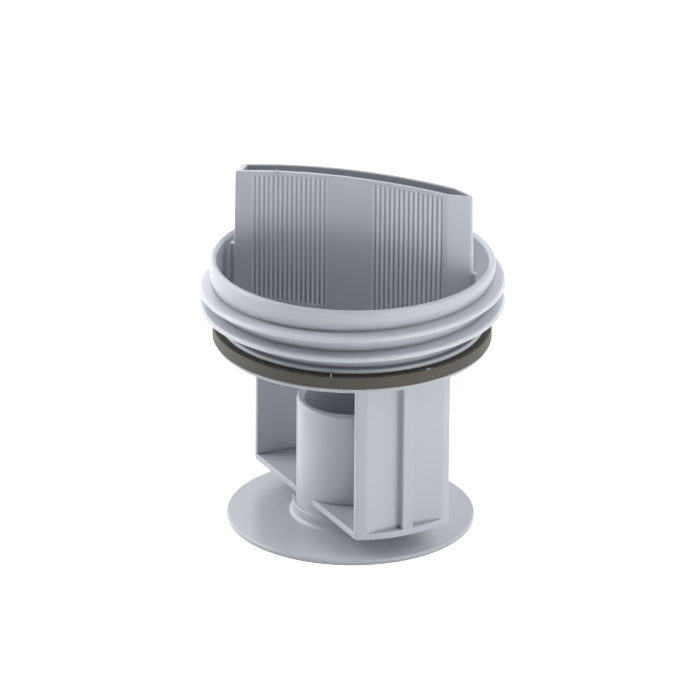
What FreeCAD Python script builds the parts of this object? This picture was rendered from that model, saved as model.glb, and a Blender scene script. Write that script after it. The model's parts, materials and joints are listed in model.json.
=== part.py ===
"""Screw-in drain pump filter: a one-piece moulding with a rubber seal ring stretched into its groove.

Millimetres, +Z up along the filter's axis. The origin is the centre of the foot disc's underside, and
+X points at the middle of one end wall of the frame. From the bottom up, the moulding is a foot disc with
the inlet tube on it, a frame of one floor strip and two end walls, a flange, the seal's groove, a cup with
a coarse screw thread round its collar, and a hollow finger grip that stands on the cup's floor.
"""

import FreeCAD, Part
import math
import os

# Foot disc and inlet tube
DISC_R = 25.8
DISC_THICK = 1.1
DISC_EDGE_ROUND = 0.4
TUBE_R = 11.35
TUBE_WALL = 1.6
TUBE_TOP_Z = 27.0
FOOT_SHOULDER_R = 12.1
FOOT_SHOULDER_Z = 3.8
FOOT_SHOULDER_ROUND = 0.25

# Frame between the tube and the flange: a floor strip and an end wall at each end of it
FRAME_R = 25.5
FRAME_HALF_WIDTH = 10.8
STRIP_Z = 5.5
STRIP_THICK = 1.4
STRIP_CORNER_ROUND = 0.8
WALL_FLAT_SETBACK = 1.6
WALL_THICK = 2.0
WALL_EDGE_ROUND = 0.35
WALL_RIB_WIDTH = 2.5
WALL_RIB_ROUND = 0.3

# Flange, groove and lip that hold the seal ring
FLANGE_Z = 39.5
FLANGE_R = 28.2
FLANGE_THICK = 0.9
GROOVE_R = 25.5
LIP_R = 27.3
LIP_THICK = 1.0
LIP_ROUND = 0.7
CORE_R = 25.9
CORE_ROUND = 0.5

# Seal ring
SEAL_R = 28.85
SEAL_HEIGHT = 2.8
SEAL_EDGE_ROUND = 0.35
SEAL_SIDE_CLEARANCE = 0.05
SEAL_SEAT_CLEARANCE = 0.02

# Cup and its collar
COLLAR_Z = 47.5
COLLAR_R = 29.35
RIM_Z = 57.8
RIM_WALL = 1.45
RIM_FLAT = 0.05
CUP_STEP_THICK = 1.4
WELL_R = 23.9
WELL_ROUND = 1.0
FLOOR_THICK = 1.7

# Thread: a right-hand ridge, its steep side down, that starts level along the collar's underside
THREAD_CREST_R = 31.5
THREAD_LEAD = 4.3
THREAD_LAND = 0.45
THREAD_FLANK = 1.55
THREAD_UNDERCUT = 0.12
THREAD_SCOOP = 0.35
THREAD_ROOT_DEPTH = 0.7
THREAD_SINK = 0.1
THREAD_RISE_ANGLE = -31.7
THREAD_LEVEL_RUN = 140.0
THREAD_RUN = 515.0
THREAD_FADE = 40.0
THREAD_SECTION_STEP = 30.0

# Finger grip
GRIP_ANGLE = 45.0
GRIP_TOP_Z = 76.2
GRIP_TOP_DROP = 1.75
GRIP_SQUARE_END = 24.8
GRIP_NOSE_END = 25.5
GRIP_TAPER_START = 21.2
GRIP_MID_HALF = 2.54
GRIP_END_HALF = 2.31
GRIP_NOSE_ROUND = 0.85
GRIP_NOSE_CHORDS = 4
GRIP_END_DRAFT = 0.9
GRIP_WALL = 0.9
GRIP_SQUARE_WALL = 1.5
GRIP_NOSE_WALL = 1.25
GRIP_POCKET_ROUND = 0.3
SQUARE_RIB_PROUD = 1.0
NOSE_RIB_PROUD = 0.35
END_RIB_THICK = 1.4

# Fine grooves in the grip's faces, in two bands on each face
GROOVE_COUNT = 15
GROOVE_PITCH = 0.96
GROOVE_WIDTH = 0.5
GROOVE_DEPTH = 0.22
BAND_CENTRE = 12.7
BAND_TOP_MARGIN = 0.85
BAND_BOTTOM_Z = 47.2

# Sizes that follow from those above
BORE_R = TUBE_R - TUBE_WALL
STRIP_TOP_Z = STRIP_Z + STRIP_THICK
WALL_FLAT_X = FRAME_R - WALL_FLAT_SETBACK
FLANGE_TOP_Z = FLANGE_Z + FLANGE_THICK
LIP_Z = FLANGE_TOP_Z + SEAL_HEIGHT + 2 * SEAL_SIDE_CLEARANCE
LIP_TOP_Z = LIP_Z + LIP_THICK
CUP_R = COLLAR_R - RIM_WALL
CUP_STEP_Z = COLLAR_Z + CUP_STEP_THICK
CUP_FLOOR_Z = FLANGE_Z + FLOOR_THICK

# Drawing aids: each rounding of a turned profile gets one chord for so much radius, joined solids reach
# so far into each other, and a cutter that must pass beyond the part is so large
ROUND_PER_CHORD = 0.5
OVERLAP = 0.4
FAR = 100.0

CENTRE = FreeCAD.Vector(0, 0, 0)
UP = FreeCAD.Vector(0, 0, 1)


def in_plan(x, y):
    """A point of the level z = 0."""
    return FreeCAD.Vector(x, y, 0)


def in_section(radius, z):
    """A point of the half-section through the axis."""
    return FreeCAD.Vector(radius, 0, z)


def turned_face(corners):
    """A half-section's face from corners (radius, z, rounding), each rounding drawn as a few chords."""
    points = []
    for i, (radius, z, rounding) in enumerate(corners):
        corner = in_section(radius, z)
        chords = math.ceil(rounding / ROUND_PER_CHORD)
        if chords == 0:
            points.append(corner)
            continue
        before = (in_section(*corners[i - 1][:2]) - corner).normalize()
        after = (in_section(*corners[(i + 1) % len(corners)][:2]) - corner).normalize()
        half_angle = before.getAngle(after) / 2
        inward = (before + after).normalize()
        centre = corner + inward * (rounding / math.sin(half_angle))
        first = corner + before * (rounding / math.tan(half_angle)) - centre
        last = corner + after * (rounding / math.tan(half_angle)) - centre
        turn = first.getAngle(last)
        for k in range(chords + 1):
            share = math.sin(turn * (1 - k / chords)), math.sin(turn * k / chords)
            points.append(centre + (first * share[0] + last * share[1]) * (1 / math.sin(turn)))
    return Part.Face(Part.makePolygon(points + points[:1]))


def turned(corners):
    """The solid that a half-section sweeps round the axis."""
    return turned_face(corners).revolve(CENTRE, UP, 360)


def cylinder(radius, low, high):
    """An upright cylinder about the axis."""
    return Part.makeCylinder(radius, high - low, in_section(0, low))


def block(x_low, x_high, half_width, low, high):
    """A box between two x places, centred on the XZ plane."""
    corner = FreeCAD.Vector(x_low, -half_width, low)
    return Part.makeBox(x_high - x_low, 2 * half_width, high - low, corner)


def upright_edges(solid, y_half):
    """The vertical edges of a solid that stand at y = +y_half or y = -y_half."""
    found = []
    for edge in solid.Edges:
        run = edge.Vertexes[-1].Point - edge.Vertexes[0].Point
        is_upright = run.Length > 0 and abs(abs(run.z) - run.Length) < 1e-6
        if is_upright and abs(abs(edge.Vertexes[0].Y) - y_half) < 1e-6:
            found.append(edge)
    return found


def foot_and_tube():
    """The foot disc and the inlet tube, with the tube's bore through both."""
    rim_round = (TUBE_WALL - RIM_FLAT) / 2
    return turned([
        (BORE_R, 0, 0),
        (DISC_R, 0, 0),
        (DISC_R, DISC_THICK, DISC_EDGE_ROUND),
        (FOOT_SHOULDER_R, DISC_THICK, 0),
        (FOOT_SHOULDER_R, FOOT_SHOULDER_Z, FOOT_SHOULDER_ROUND),
        (TUBE_R, FOOT_SHOULDER_Z, 0),
        (TUBE_R, TUBE_TOP_Z, rim_round),
        (BORE_R, TUBE_TOP_Z, rim_round),
    ])


def floor_strip():
    """The strip that the tube carries: a straight band with round ends, open round the tube's bore."""
    within = cylinder(FRAME_R, STRIP_Z, STRIP_TOP_Z)
    band = block(-FAR, FAR, FRAME_HALF_WIDTH, STRIP_Z, STRIP_TOP_Z).common(within)
    band = band.makeFillet(STRIP_CORNER_ROUND, upright_edges(band, FRAME_HALF_WIDTH))
    return band.cut(cylinder((BORE_R + TUBE_R) / 2, STRIP_Z, STRIP_TOP_Z))


def end_wall():
    """The end wall on +X, from inside the strip up into the flange, with the rib on its flat."""
    low = STRIP_Z + STRIP_THICK / 2
    high = FLANGE_Z + FLANGE_THICK / 2
    within = cylinder(FRAME_R, low, high)
    plate = block(WALL_FLAT_X - WALL_THICK, WALL_FLAT_X, FRAME_HALF_WIDTH, low, high).common(within)
    plate = plate.makeFillet(WALL_EDGE_ROUND, upright_edges(plate, FRAME_HALF_WIDTH))
    rib = block(WALL_FLAT_X - WALL_THICK / 2, FAR, WALL_RIB_WIDTH / 2, low, high).common(within)
    outer = [edge for edge in upright_edges(rib, WALL_RIB_WIDTH / 2) if edge.Vertexes[0].X > WALL_FLAT_X]
    return plate.fuse(rib.makeFillet(WALL_RIB_ROUND, outer))


def cup():
    """Flange, seal groove, lip and the cup with its stepped inside, turned as one profile."""
    rim_round = (RIM_WALL - RIM_FLAT) / 2
    return turned([
        (0, FLANGE_Z, 0),
        (FLANGE_R, FLANGE_Z, 0),
        (FLANGE_R, FLANGE_TOP_Z, 0),
        (GROOVE_R, FLANGE_TOP_Z, 0),
        (GROOVE_R, LIP_Z, 0),
        (LIP_R, LIP_Z, 0),
        (LIP_R, LIP_TOP_Z, LIP_ROUND),
        (CORE_R, LIP_TOP_Z, 0),
        (CORE_R, COLLAR_Z, CORE_ROUND),
        (COLLAR_R, COLLAR_Z, 0),
        (COLLAR_R, RIM_Z, rim_round),
        (CUP_R, RIM_Z, rim_round),
        (CUP_R, CUP_STEP_Z, 0),
        (WELL_R, CUP_STEP_Z, 0),
        (WELL_R, CUP_FLOOR_Z, WELL_ROUND),
        (0, CUP_FLOOR_Z, 0),
    ])


def thread_section(angle):
    """The ridge's section at a turn angle in degrees, counted from where it leaves the collar's underside."""
    height = THREAD_CREST_R - COLLAR_R
    fade = min(1.0, (THREAD_LEVEL_RUN + angle) / THREAD_FADE, (THREAD_RUN - angle) / THREAD_FADE)
    crest = COLLAR_R - THREAD_SINK + (height + THREAD_SINK) * math.sin(fade * math.pi / 2)
    root = COLLAR_R - THREAD_ROOT_DEPTH
    low = COLLAR_Z + THREAD_LEAD * max(0, angle) / 360
    land_top = low + THREAD_LAND
    flank_top = land_top + THREAD_FLANK
    heel = in_section(root, low + THREAD_UNDERCUT)
    crest_low = in_section(crest, low)
    crest_high = in_section(crest, land_top)
    neck = in_section(COLLAR_R - THREAD_SINK, flank_top)
    buried = in_section(root, flank_top)
    chord = neck - crest_high
    inward = FreeCAD.Vector(-chord.z, 0, chord.x).normalize()
    scoop = (crest_high + neck) * 0.5 + inward * THREAD_SCOOP
    wire = Part.Wire([
        Part.LineSegment(heel, crest_low).toShape(),
        Part.LineSegment(crest_low, crest_high).toShape(),
        Part.LineSegment(crest_high, scoop).toShape(),
        Part.LineSegment(scoop, neck).toShape(),
        Part.LineSegment(neck, buried).toShape(),
        Part.LineSegment(buried, heel).toShape(),
    ])
    wire.rotate(CENTRE, UP, THREAD_RISE_ANGLE + angle)
    return wire


def thread():
    """The ridge, lofted through its sections round the collar."""
    count = math.ceil((THREAD_LEVEL_RUN + THREAD_RUN) / THREAD_SECTION_STEP)
    step = (THREAD_LEVEL_RUN + THREAD_RUN) / count
    sections = [thread_section(step * i - THREAD_LEVEL_RUN) for i in range(count + 1)]
    return Part.makeLoft(sections, True, False)


def face_half(x):
    """Half the grip's thickness at a place along it: the faces are slightly bowed."""
    bow = GRIP_MID_HALF - GRIP_END_HALF
    radius = (GRIP_SQUARE_END ** 2 + bow ** 2) / (2 * bow)
    return GRIP_MID_HALF - radius + math.sqrt(radius ** 2 - x ** 2)


def arch_radius():
    """Radius of the grip's arched top."""
    return (GRIP_SQUARE_END ** 2 + GRIP_TOP_DROP ** 2) / (2 * GRIP_TOP_DROP)


def arch_height(x):
    """Height of the grip's arched top at a place along it."""
    return GRIP_TOP_Z - arch_radius() + math.sqrt(arch_radius() ** 2 - x ** 2)


def grip_wire(z, square_x, nose_x, nose_round, inset):
    """The grip's outline at a level: a square end on -X, bowed faces, and a wedge with a round nose on +X."""
    shoulder = face_half(GRIP_TAPER_START) - inset
    nose_centre = nose_x - nose_round
    reach = math.hypot(GRIP_TAPER_START - nose_centre, shoulder)
    turn = math.atan2(shoulder, GRIP_TAPER_START - nose_centre) - math.acos(nose_round / reach)

    nose = []
    for k in range(GRIP_NOSE_CHORDS + 1):
        angle = turn - 2 * turn * k / GRIP_NOSE_CHORDS
        offset = FreeCAD.Vector(math.cos(angle), math.sin(angle), 0) * nose_round
        nose.append(FreeCAD.Vector(nose_centre, 0, z) + offset)

    def on_face(x, side):
        return FreeCAD.Vector(x, side * (face_half(x) - inset), z)

    def face_arc(side):
        places = (on_face(x, side) for x in (-square_x, (GRIP_TAPER_START - square_x) / 2, GRIP_TAPER_START))
        return Part.Arc(*places).toShape()

    wedge = Part.makePolygon([on_face(GRIP_TAPER_START, 1)] + nose + [on_face(GRIP_TAPER_START, -1)])
    square_end = Part.makeLine(on_face(-square_x, -1), on_face(-square_x, 1))
    return Part.Wire([square_end, face_arc(1)] + wedge.Edges + [face_arc(-1)])


def groove_cutters():
    """Sharp-bottomed cutters for the fine grooves, which stop short of the arched top."""
    cutters = []
    mouth = GROOVE_WIDTH / 2 * (GROOVE_DEPTH + OVERLAP) / GROOVE_DEPTH
    for band in (-BAND_CENTRE, BAND_CENTRE):
        for side in (-1, 1):
            for i in range(GROOVE_COUNT):
                x = band + (i - (GROOVE_COUNT - 1) / 2) * GROOVE_PITCH
                outside = side * (face_half(x) + OVERLAP)
                bottom = side * (face_half(x) - GROOVE_DEPTH)
                outline = [(x - mouth, outside), (x, bottom), (x + mouth, outside), (x - mouth, outside)]
                face = Part.Face(Part.makePolygon([FreeCAD.Vector(a, b, BAND_BOTTOM_Z) for a, b in outline]))
                cutters.append(face.extrude(UP * (arch_height(x) - BAND_TOP_MARGIN - BAND_BOTTOM_Z)))
    return cutters


def grip_and_pocket():
    """The finger grip as a solid blade with its end ribs and grooves, and the pocket to cut from it."""
    low = CUP_FLOOR_Z - OVERLAP
    high = GRIP_TOP_Z + OVERLAP
    spread = math.tan(math.radians(GRIP_END_DRAFT)) * (high - low)
    foot_wire = grip_wire(low, GRIP_SQUARE_END + spread, GRIP_NOSE_END + spread, GRIP_NOSE_ROUND, 0)
    top_wire = grip_wire(high, GRIP_SQUARE_END, GRIP_NOSE_END, GRIP_NOSE_ROUND, 0)
    blade = Part.makeLoft([foot_wire, top_wire], True, True)
    axis_start = FreeCAD.Vector(0, -FAR, GRIP_TOP_Z - arch_radius())
    blade = blade.common(Part.makeCylinder(arch_radius(), 2 * FAR, axis_start, FreeCAD.Vector(0, 1, 0)))
    rib_low = CUP_STEP_Z - OVERLAP
    rib_start = GRIP_SQUARE_END + spread + SQUARE_RIB_PROUD
    rib_end = GRIP_NOSE_END + spread + NOSE_RIB_PROUD
    blade = blade.fuse(block(-rib_start, rib_end, END_RIB_THICK / 2, rib_low, RIM_Z))
    room = cylinder(WELL_R + OVERLAP, low, CUP_STEP_Z).fuse(cylinder(CUP_R, rib_low, GRIP_TOP_Z + OVERLAP))
    blade = blade.common(room).cut(groove_cutters())
    pocket_square = GRIP_SQUARE_END - GRIP_SQUARE_WALL
    pocket_nose = GRIP_NOSE_END - GRIP_NOSE_WALL
    pocket_wire = grip_wire(CUP_FLOOR_Z, pocket_square, pocket_nose, GRIP_POCKET_ROUND, GRIP_WALL)
    pocket = Part.Face(pocket_wire).extrude(UP * (high - CUP_FLOOR_Z))
    for solid in (blade, pocket):
        solid.rotate(CENTRE, UP, GRIP_ANGLE)
    return blade, pocket


def filter_body():
    """The one-piece moulding."""
    wall = end_wall()
    far_wall = wall.copy()
    far_wall.rotate(CENTRE, UP, 180)
    blade, pocket = grip_and_pocket()
    lower = foot_and_tube().fuse([floor_strip(), wall, far_wall])
    return cup().fuse(blade).cut(pocket).fuse(lower).fuse(thread())


def seal_ring():
    """The rubber ring that sits in the groove and stands proud of the flange and the lip."""
    seat_r = GROOVE_R + SEAL_SEAT_CLEARANCE
    low = FLANGE_TOP_Z + SEAL_SIDE_CLEARANCE
    high = low + SEAL_HEIGHT
    return turned([
        (seat_r, low, 0),
        (SEAL_R, low, SEAL_EDGE_ROUND),
        (SEAL_R, high, SEAL_EDGE_ROUND),
        (seat_r, high, 0),
    ])


def main():
    """Write each piece as a STEP file of its own."""
    os.makedirs("parts", exist_ok=True)
    for name, piece in (("filter_body", filter_body()), ("seal_ring", seal_ring())):
        solid = piece.Solids[0]
        print(name, "solids", len(piece.Solids), "valid", solid.isValid(), "volume", round(solid.Volume, 1))
        solid.exportStep(f"parts/{name}.step")


main()
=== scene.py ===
"""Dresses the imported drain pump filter: one smooth grey moulding, its rubber seal ring and a studio.

The moulding is built here again at a fine grain, from the same named sizes as the solid part, with the
small roundings, the thread's hollow neck and the fine grip grooves that the coarse solid leaves out. Shapes
are built in millimetres and brought to metres when they are finished.
"""

import json
import logging
import math
from collections.abc import Sequence
from dataclasses import dataclass
from enum import Enum
from typing import Any

import bmesh
import bpy
from mathutils import Matrix, Vector


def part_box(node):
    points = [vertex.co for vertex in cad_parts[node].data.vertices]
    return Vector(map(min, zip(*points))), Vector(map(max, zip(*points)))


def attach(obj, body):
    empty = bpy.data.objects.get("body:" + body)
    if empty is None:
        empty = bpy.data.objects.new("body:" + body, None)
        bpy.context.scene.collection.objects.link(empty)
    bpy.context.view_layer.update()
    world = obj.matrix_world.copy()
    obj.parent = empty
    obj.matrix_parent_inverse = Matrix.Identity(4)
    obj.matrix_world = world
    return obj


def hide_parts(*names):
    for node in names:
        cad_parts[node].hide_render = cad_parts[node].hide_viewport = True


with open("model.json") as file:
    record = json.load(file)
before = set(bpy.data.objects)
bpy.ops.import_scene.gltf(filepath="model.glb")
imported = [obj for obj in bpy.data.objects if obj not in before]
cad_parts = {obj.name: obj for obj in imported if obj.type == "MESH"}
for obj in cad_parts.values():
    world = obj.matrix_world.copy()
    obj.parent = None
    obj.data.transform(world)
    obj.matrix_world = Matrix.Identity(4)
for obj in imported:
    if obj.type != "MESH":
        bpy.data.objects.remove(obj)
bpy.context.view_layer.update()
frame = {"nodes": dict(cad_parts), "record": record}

LOG = logging.getLogger("filter")
# Metres in a millimetre
MM = 0.001
TURN_STEPS = 240
ARC_STEP = math.radians(15)
RIM_PARTS = 4
SHARP_ANGLE = math.radians(32)
# An outline's point moves at most its inset divided by this
SHARPEST_MITRE = 0.3
# Angles and lengths below this count as none
TINY = 1e-4
# What stays flat where a rounding takes up a whole rim
HAIR = 0.02
# How far a cutting solid reaches past what it cuts
REACH = 1.0
AO_SAMPLES = 8
BEVEL_SAMPLES = 6


class Join(Enum):
    """How a second solid changes the first one."""

    UNION = "UNION"
    CUT = "DIFFERENCE"


@dataclass(frozen=True)
class Corner:
    """A corner of an outline in millimetres, and the radius of its rounding."""

    x: float
    y: float
    rounding: float = 0.0

    @property
    def place(self) -> Vector:
        """The sharp corner as a flat vector."""
        return Vector((self.x, self.y))


class Value:
    """A number socket of a node tree: an expression on it adds Math nodes."""

    def __init__(self, nodes: "Nodes", socket: bpy.types.NodeSocket) -> None:
        """Keeps the tree's builder and the socket that carries the number."""
        self.nodes = nodes
        self.socket = socket

    def maths(self, operation: str, *others: "Value | float") -> "Value":
        """Adds one Math node.

        Args:
            operation: Name of the Math node's operation.
            others: Its second and third operand, where it has them.

        Returns:
            The node's result.
        """
        node = self.nodes.add("ShaderNodeMath", {"operation": operation}, dict(enumerate((self, *others))))
        return Value(self.nodes, node.outputs[0])

    def __add__(self, other: "Value | float") -> "Value":
        """Sum."""
        return self.maths("ADD", other)

    __radd__ = __add__

    def __sub__(self, other: "Value | float") -> "Value":
        """Difference."""
        return self.maths("SUBTRACT", other)

    def __rsub__(self, other: float) -> "Value":
        """Difference with the number on the left."""
        return self.nodes.number(other).maths("SUBTRACT", self)

    def __mul__(self, other: "Value | float") -> "Value":
        """Product."""
        return self.maths("MULTIPLY", other)

    __rmul__ = __mul__

    def __truediv__(self, other: "Value | float") -> "Value":
        """Quotient."""
        return self.maths("DIVIDE", other)

    def __rtruediv__(self, other: float) -> "Value":
        """Quotient with the number on the left."""
        return self.nodes.number(other).maths("DIVIDE", self)

    def __pow__(self, other: "Value | float") -> "Value":
        """Power."""
        return self.maths("POWER", other)

    def __gt__(self, other: "Value | float") -> "Value":
        """1 where this is more than the other, else 0."""
        return self.maths("GREATER_THAN", other)

    def __lt__(self, other: "Value | float") -> "Value":
        """1 where this is less than the other, else 0."""
        return self.maths("LESS_THAN", other)

    def clipped(self) -> "Value":
        """The number kept between 0 and 1."""
        return self.maths("MINIMUM", 1.0).maths("MAXIMUM", 0.0)


class Nodes:
    """Adds nodes and links to one tree."""

    def __init__(self, tree: bpy.types.NodeTree) -> None:
        """Starts with the tree as it is."""
        self.tree = tree

    def add(
        self,
        kind: str,
        settings: dict[str, Any] | None = None,
        sockets: dict[int | str, Any] | None = None,
    ) -> bpy.types.Node:
        """Adds any node.

        Args:
            kind: The node's type.
            settings: Its own properties, which are set first.
            sockets: Values or links of its inputs, by place or name.

        Returns:
            The new node.
        """
        node = self.tree.nodes.new(kind)
        for name, value in (settings or {}).items():
            setattr(node, name, value)
        for key, value in (sockets or {}).items():
            self.feed(node.inputs[key], value)
        return node

    def feed(self, socket: bpy.types.NodeSocket, value: Any) -> None:
        """Links a socket, or sets its constant.

        Args:
            socket: The input.
            value: A Value, an output socket or a constant.
        """
        if isinstance(value, Value):
            self.tree.links.new(value.socket, socket)
        elif isinstance(value, bpy.types.NodeSocket):
            self.tree.links.new(value, socket)
        else:
            socket.default_value = value

    def number(self, value: float) -> Value:
        """Adds a constant that starts an expression.

        Args:
            value: The constant.

        Returns:
            It as a socket's number.
        """
        node = self.add("ShaderNodeValue")
        node.outputs[0].default_value = value
        return Value(self, node.outputs[0])

    def out(
        self,
        kind: str,
        settings: dict[str, Any] | None = None,
        sockets: dict[int | str, Any] | None = None,
        output: int | str = 0,
    ) -> bpy.types.NodeSocket:
        """Adds a node and gives one of its outputs.

        Args:
            kind: The node's type.
            settings: Its own properties.
            sockets: Values or links of its inputs.
            output: The output that is wanted.

        Returns:
            That output.
        """
        return self.add(kind, settings, sockets).outputs[output]

    def value(
        self,
        kind: str,
        settings: dict[str, Any] | None = None,
        sockets: dict[int | str, Any] | None = None,
        output: int | str = 0,
    ) -> Value:
        """Adds a node and gives one of its outputs as a number.

        Args:
            kind: The node's type.
            settings: Its own properties.
            sockets: Values or links of its inputs.
            output: The output that is wanted.

        Returns:
            That output, ready for an expression.
        """
        return Value(self, self.out(kind, settings, sockets, output))

    def parts(self, vector: bpy.types.NodeSocket) -> list[Value]:
        """The x, y and z of a vector as numbers."""
        split = self.add("ShaderNodeSeparateXYZ", {}, {0: vector})
        return [Value(self, socket) for socket in split.outputs]

    def vector(
        self, x: Value | float = 0.0, y: Value | float = 0.0, z: Value | float = 0.0,
    ) -> bpy.types.NodeSocket:
        """A vector made of three numbers."""
        return self.out("ShaderNodeCombineXYZ", {}, {0: x, 1: y, 2: z})

    def vector_maths(self, operation: str, sockets: dict[int | str, Any]) -> bpy.types.NodeSocket:
        """Adds one Vector Math node and gives its vector."""
        return self.out("ShaderNodeVectorMath", {"operation": operation}, sockets)

    def flat(self, vector: bpy.types.NodeSocket) -> bpy.types.NodeSocket:
        """A vector without its height."""
        return self.vector_maths("MULTIPLY", {0: vector, 1: (1, 1, 0)})

    def length(self, vector: bpy.types.NodeSocket) -> Value:
        """A vector's length."""
        return self.value("ShaderNodeVectorMath", {"operation": "LENGTH"}, {0: vector}, "Value")

    def noise(self, place: bpy.types.NodeSocket, scale: float, detail: float) -> Value:
        """A noise from 0 to 1 in space.

        Args:
            place: Where it is read.
            scale: How closely it is packed.
            detail: How many finer layers it has.

        Returns:
            The noise.
        """
        return self.value("ShaderNodeTexNoise", {}, {"Vector": place, "Scale": scale, "Detail": detail})

    def openness(self, reach: float) -> Value:
        """How open a point lies within a reach in millimetres: 1 in the open, less in a crease."""
        settings = {"samples": AO_SAMPLES}
        return self.value("ShaderNodeAmbientOcclusion", settings, {"Distance": reach * MM}, "AO")

    def blend(
        self, share: Value, under: Any, over: tuple[float, float, float],
    ) -> bpy.types.NodeSocket:
        """Mixes one colour over another.

        Args:
            share: 0 where the colour under it shows, 1 where the colour over it does.
            under: A colour with its alpha, or the socket of one.
            over: The colour that goes on top.

        Returns:
            The mixed colour.
        """
        return self.out("ShaderNodeMix", {"data_type": "RGBA"}, {0: share, 6: under, 7: (*over, 1)}, 2)

    def seen_rays(self) -> Value:
        """Tells the rays that look from the rays that bring light.

        Returns:
            1 for rays of the camera, of reflections and of transmission, 0 for the others.
        """
        rays = self.add("ShaderNodeLightPath")
        seen = Value(self, rays.outputs["Is Camera Ray"]) + Value(self, rays.outputs["Is Glossy Ray"])
        return (seen + Value(self, rays.outputs["Is Transmission Ray"])).clipped()


class Recipe:
    """A Geometry Nodes tree with named inputs that is run once on an object and leaves a plain mesh."""

    def __init__(self, name: str) -> None:
        """Starts an empty tree.

        Args:
            name: Name of the tree.
        """
        self.tree = bpy.data.node_groups.new(name, "GeometryNodeTree")
        self.tree.interface.new_socket("Geometry", in_out="OUTPUT", socket_type="NodeSocketGeometry")
        self.tree.interface.new_socket("Geometry", in_out="INPUT", socket_type="NodeSocketGeometry")
        self.nodes = Nodes(self.tree)
        self.inlet = self.nodes.add("NodeGroupInput")
        self.given = self.inlet.outputs["Geometry"]
        self.outlet = self.nodes.add("NodeGroupOutput")
        self.settings: dict[str, Any] = {}

    def ask(self, name: str, value: Any, kind: str = "NodeSocketFloat") -> Value:
        """Adds a named input.

        Args:
            name: The input's name.
            value: What the object sets it to.
            kind: Type of its socket.

        Returns:
            The input inside the tree.
        """
        socket = self.tree.interface.new_socket(name, in_out="INPUT", socket_type=kind)
        self.settings[socket.identifier] = value
        return Value(self.nodes, self.inlet.outputs[name])

    def place(self) -> bpy.types.NodeSocket:
        """The place of each point."""
        return self.nodes.out("GeometryNodeInputPosition")

    def attribute(self, name: str, kind: str) -> bpy.types.NodeSocket:
        """A named attribute of each point."""
        return self.nodes.out("GeometryNodeInputNamedAttribute", {"data_type": kind}, {"Name": name})

    def moved(self, geometry: bpy.types.NodeSocket, offset: bpy.types.NodeSocket) -> bpy.types.NodeSocket:
        """The geometry with each of its points moved by an offset."""
        return self.nodes.out("GeometryNodeSetPosition", {}, {"Geometry": geometry, "Offset": offset})

    def end(self, geometry: bpy.types.NodeSocket, material: bpy.types.Material) -> None:
        """Ends the tree with real geometry that wears a material.

        Args:
            geometry: What the tree made.
            material: What it wears.
        """
        wears = self.ask("Material", material, "NodeSocketMaterial")
        real = self.nodes.out("GeometryNodeRealizeInstances", {}, {"Geometry": geometry})
        dressed = self.nodes.out("GeometryNodeSetMaterial", {}, {"Geometry": real, "Material": wears})
        self.nodes.feed(self.outlet.inputs[0], dressed)

    def run(self, target: bpy.types.Object) -> None:
        """Runs the tree on an object and keeps the result as its mesh.

        Args:
            target: The object that gets the result.
        """
        modifier = target.modifiers.new(self.tree.name, "NODES")
        modifier.node_group = self.tree
        for identifier, value in self.settings.items():
            modifier[identifier] = value
        apply_modifiers(target)
        bpy.data.node_groups.remove(self.tree)


def new_object(name: str, data: bpy.types.ID | None = None) -> bpy.types.Object:
    """Makes an object in the scene.

    Args:
        name: Name of the object.
        data: Its mesh, curve, lamp or camera, or none for an empty mesh.

    Returns:
        The object, at the origin.
    """
    made = bpy.data.objects.new(name, data or bpy.data.meshes.new(name))
    bpy.context.scene.collection.objects.link(made)
    return made


def from_bmesh(name: str, work: bmesh.types.BMesh) -> bpy.types.Object:
    """Turns a bmesh into an object with its faces outwards.

    Args:
        name: Name of the object.
        work: The bmesh, which is freed.

    Returns:
        The object.
    """
    bmesh.ops.recalc_face_normals(work, faces=work.faces)
    mesh = bpy.data.meshes.new(name)
    work.to_mesh(mesh)
    work.free()
    return new_object(name, mesh)


def apply_modifiers(target: bpy.types.Object) -> None:
    """Replaces an object's mesh with its evaluated one and clears its modifiers.

    Args:
        target: The object.
    """
    graph = bpy.context.evaluated_depsgraph_get()
    mesh = bpy.data.meshes.new_from_object(target.evaluated_get(graph))
    target.modifiers.clear()
    old = target.data
    target.data = mesh
    bpy.data.meshes.remove(old)


def combine(target: bpy.types.Object, tool: bpy.types.Object, how: Join) -> None:
    """Joins a closed solid to another or cuts it from it.

    Args:
        target: The solid that changes.
        tool: The second solid, which is used up.
        how: What happens.
    """
    modifier = target.modifiers.new(how.name.lower(), "BOOLEAN")
    modifier.solver = "MANIFOLD"
    modifier.operation = how.value
    modifier.object = tool
    apply_modifiers(target)
    mesh = tool.data
    bpy.data.objects.remove(tool)
    bpy.data.meshes.remove(mesh)


def arc_points(before: Vector, corner: Vector, after: Vector, rounding: float) -> list[Vector]:
    """The points of one rounded corner.

    Args:
        before: The outline's corner before this one.
        corner: The corner itself.
        after: The next corner.
        rounding: Radius of the rounding.

    Returns:
        Points along the arc, in the outline's order.
    """
    to_before = (before - corner).normalized()
    to_after = (after - corner).normalized()
    half = to_before.angle(to_after) / 2
    turn = math.pi - 2 * half
    if rounding <= 0 or turn < TINY:
        return [corner.copy()]
    centre = corner + (to_before + to_after).normalized() * (rounding / math.sin(half))
    first = corner + to_before * (rounding / math.tan(half)) - centre
    last = corner + to_after * (rounding / math.tan(half)) - centre
    count = max(2, math.ceil(turn / ARC_STEP))
    points = []
    for k in range(count + 1):
        early = math.sin(turn * (1 - k / count)) / math.sin(turn)
        late = math.sin(turn * k / count) / math.sin(turn)
        points.append(centre + first * early + last * late)
    return points


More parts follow.
